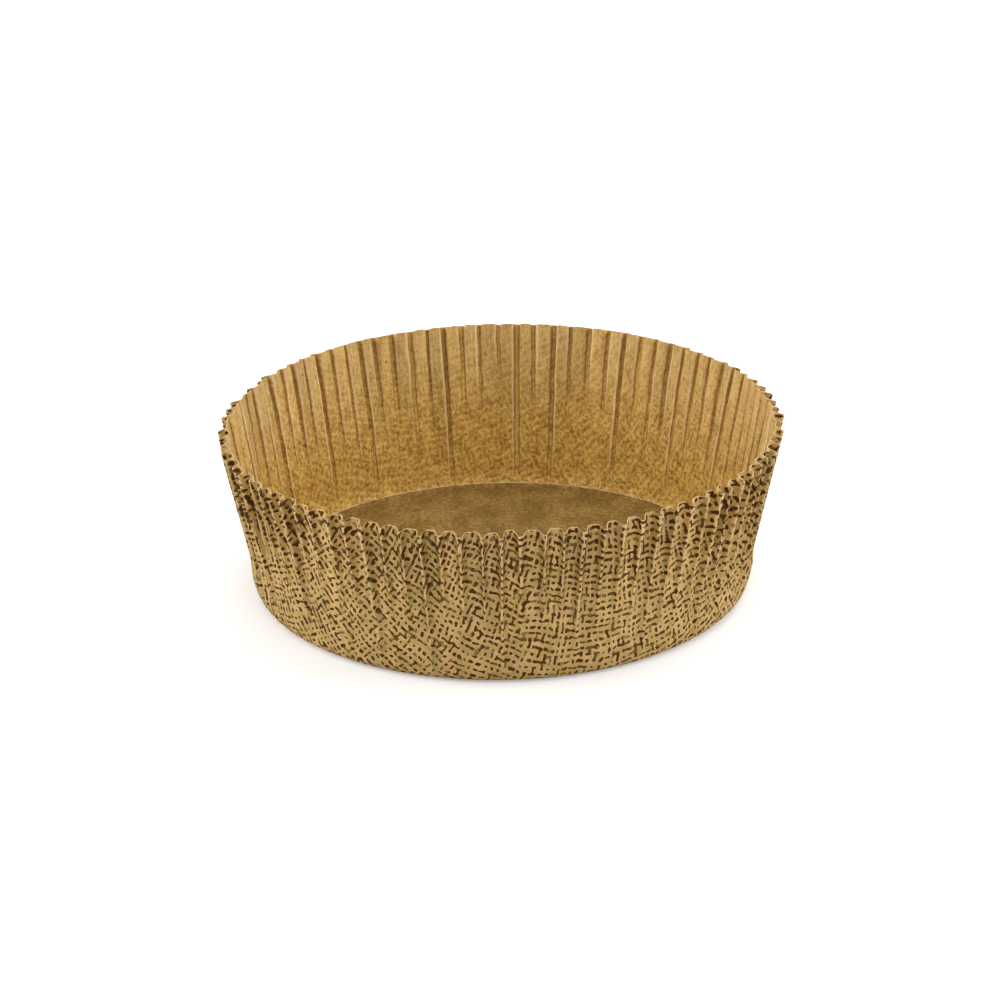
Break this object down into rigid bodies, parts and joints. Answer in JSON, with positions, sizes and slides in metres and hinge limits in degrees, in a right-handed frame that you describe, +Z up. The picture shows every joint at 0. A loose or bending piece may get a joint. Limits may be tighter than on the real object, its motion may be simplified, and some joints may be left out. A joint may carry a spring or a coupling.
{
  "type": "panettone baking cup",
  "caption": "Low round paper baking cup with a flared, pleated wall, a scalloped rim and a card disc in its bottom. It holds dough or batter while it bakes.",
  "frame": {"origin": "centre of the bottom, on the surface that the cup stands on", "axes": "+Z up through the middle of the cup's mouth; +X and +Y across the mouth, each way alike"},
  "size_m": [0.152, 0.152, 0.0466],
  "materials": {
    "printed_paper": "matt kraft paper, printed outside with small dark brown strokes in a coarse sackcloth pattern",
    "brown_card": "smooth matt brown card with a pale cut edge"
  },
  "bodies": {
    "root": {"pleated_cup": "printed_paper", "base_disc": "brown_card"}
  },
  "joints": []
}
